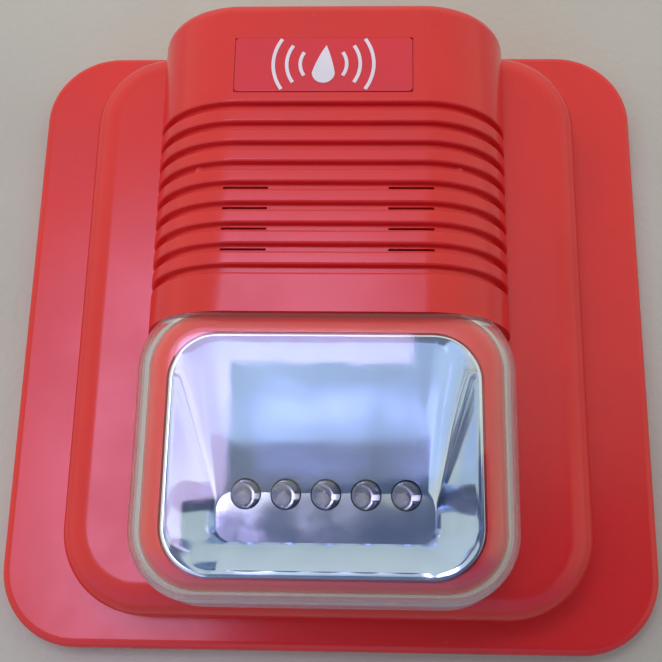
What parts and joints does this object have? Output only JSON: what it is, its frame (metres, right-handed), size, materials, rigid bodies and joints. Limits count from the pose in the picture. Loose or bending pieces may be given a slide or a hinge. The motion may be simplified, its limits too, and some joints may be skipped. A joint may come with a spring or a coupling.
{
  "type": "horn strobe",
  "caption": "Square red wall-mounted fire alarm horn strobe with a grooved sounder dome and a clear lens over a mirrored LED basin.",
  "frame": {"origin": "middle of the flat back, in the plane that lies on the wall", "axes": "+Z out of the wall towards the viewer, +Y towards the label end, +X to the right"},
  "size_m": [0.12, 0.12, 0.035],
  "materials": {
    "red_plastic": "gloss",
    "label_film": "gloss",
    "white_print": "satin",
    "clear_lens": "gloss",
    "mirror_finish": "polished",
    "led_epoxy": "gloss",
    "tinned_metal": "satin",
    "green_laminate": "satin",
    "zinc_screw": "satin",
    "black_plastic": "matte",
    "foam_rubber": "matte",
    "brass_sheet": "satin",
    "white_ceramic": "matte",
    "red_wire": "satin",
    "black_wire": "satin",
    "capacitor_sleeve": "gloss",
    "ferrite": "matte",
    "copper_wire": "gloss",
    "chip_epoxy": "matte",
    "chip_ceramic": "matte",
    "varistor_coat": "gloss",
    "white_plastic": "satin",
    "plate_plastic": "satin",
    "terminal_plastic": "satin"
  },
  "bodies": {
    "wall_plate": {"wall_plate": "plate_plastic", "terminal_block": "terminal_plastic", "contact_strips": "brass_sheet", "block_screws": "zinc_screw"},
    "terminal_screw_1": {"terminal_screw_1": "zinc_screw"},
    "wire_cage_1": {"wire_cage_1": "brass_sheet"},
    "terminal_screw_2": {"terminal_screw_2": "zinc_screw"},
    "wire_cage_2": {"wire_cage_2": "brass_sheet"},
    "terminal_screw_3": {"terminal_screw_3": "zinc_screw"},
    "wire_cage_3": {"wire_cage_3": "brass_sheet"},
    "terminal_screw_4": {"terminal_screw_4": "zinc_screw"},
    "wire_cage_4": {"wire_cage_4": "brass_sheet"},
    "sound_slider_1": {"sound_slider_1": "white_plastic"},
    "sound_slider_2": {"sound_slider_2": "white_plastic"},
    "sound_slider_3": {"sound_slider_3": "white_plastic"},
    "light_slider": {"light_slider": "white_plastic"},
    "front_unit": {"front_housing": "red_plastic", "label_plate": "label_film", "label_mark": "white_print", "lens": "clear_lens", "reflector": "mirror_finish", "strobe_led_1": "led_epoxy", "strobe_led_2": "led_epoxy", "strobe_led_3": "led_epoxy", "strobe_led_4": "led_epoxy", "strobe_led_5": "led_epoxy", "led_leads": "tinned_metal", "microcontroller_leads": "tinned_metal", "transistor_tabs": "tinned_metal", "diode_leads": "tinned_metal", "plug_pins": "tinned_metal", "main_board": "green_laminate", "board_screws": "zinc_screw", "reflector_screws": "zinc_screw", "sounder_screws": "zinc_screw", "sounder_cup": "black_plastic", "sounder_cover": "black_plastic", "plug_header": "black_plastic", "sound_switch": "black_plastic", "light_switch": "black_plastic", "sounder_seal": "foam_rubber", "piezo_disc": "brass_sheet", "piezo_ceramic": "white_ceramic", "sounder_lead_red": "red_wire", "sounder_lead_black": "black_wire", "input_capacitor_1": "capacitor_sleeve", "input_capacitor_2": "capacitor_sleeve", "horn_transformer_core": "ferrite", "strobe_inductor_core": "ferrite", "horn_transformer_winding": "copper_wire", "strobe_inductor_winding": "copper_wire", "microcontroller": "chip_epoxy", "driver_transistors": "chip_epoxy", "rectifier_diodes": "chip_epoxy", "chip_resistors": "chip_epoxy", "chip_capacitors": "chip_ceramic", "varistor": "varistor_coat"}
  },
  "joints": [
    {"name": "front_unit_lift", "type": "slide", "parent": "wall_plate", "child": "front_unit", "axis": [0, 0, 1], "range_m": [0, 0.045]},
    {"name": "terminal_screw_1_turn", "type": "hinge", "parent": "wall_plate", "child": "terminal_screw_1", "pos_m": [-0.01425, 0.019, 0.0106], "axis": [0, 0, 1], "range_deg": [-900, 0]},
    {"name": "wire_cage_1_rise", "type": "slide", "parent": "wall_plate", "child": "wire_cage_1", "axis": [0, 0, 1], "range_m": [0, 0.0015]},
    {"name": "terminal_screw_2_turn", "type": "hinge", "parent": "wall_plate", "child": "terminal_screw_2", "pos_m": [-0.00475, 0.019, 0.0106], "axis": [0, 0, 1], "range_deg": [-900, 0]},
    {"name": "wire_cage_2_rise", "type": "slide", "parent": "wall_plate", "child": "wire_cage_2", "axis": [0, 0, 1], "range_m": [0, 0.0015]},
    {"name": "terminal_screw_3_turn", "type": "hinge", "parent": "wall_plate", "child": "terminal_screw_3", "pos_m": [0.00475, 0.019, 0.0106], "axis": [0, 0, 1], "range_deg": [-900, 0]},
    {"name": "wire_cage_3_rise", "type": "slide", "parent": "wall_plate", "child": "wire_cage_3", "axis": [0, 0, 1], "range_m": [0, 0.0015]},
    {"name": "terminal_screw_4_turn", "type": "hinge", "parent": "wall_plate", "child": "terminal_screw_4", "pos_m": [0.01425, 0.019, 0.0106], "axis": [0, 0, 1], "range_deg": [-900, 0]},
    {"name": "wire_cage_4_rise", "type": "slide", "parent": "wall_plate", "child": "wire_cage_4", "axis": [0, 0, 1], "range_m": [0, 0.0015]},
    {"name": "sound_slider_1_slide", "type": "slide", "parent": "front_unit", "child": "sound_slider_1", "axis": [0, 1, 0], "range_m": [0, 0.0016]},
    {"name": "sound_slider_2_slide", "type": "slide", "parent": "front_unit", "child": "sound_slider_2", "axis": [0, 1, 0], "range_m": [0, 0.0016]},
    {"name": "sound_slider_3_slide", "type": "slide", "parent": "front_unit", "child": "sound_slider_3", "axis": [0, 1, 0], "range_m": [0, 0.0016]},
    {"name": "light_slider_slide", "type": "slide", "parent": "front_unit", "child": "light_slider", "axis": [0, 1, 0], "range_m": [0, 0.006]}
  ],
  "couplings": [
    {"joint": "terminal_screw_1_turn", "follows": "wire_cage_1_rise", "rad_per_m": -10470},
    {"joint": "terminal_screw_2_turn", "follows": "wire_cage_2_rise", "rad_per_m": -10470},
    {"joint": "terminal_screw_3_turn", "follows": "wire_cage_3_rise", "rad_per_m": -10470},
    {"joint": "terminal_screw_4_turn", "follows": "wire_cage_4_rise", "rad_per_m": -10470}
  ]
}
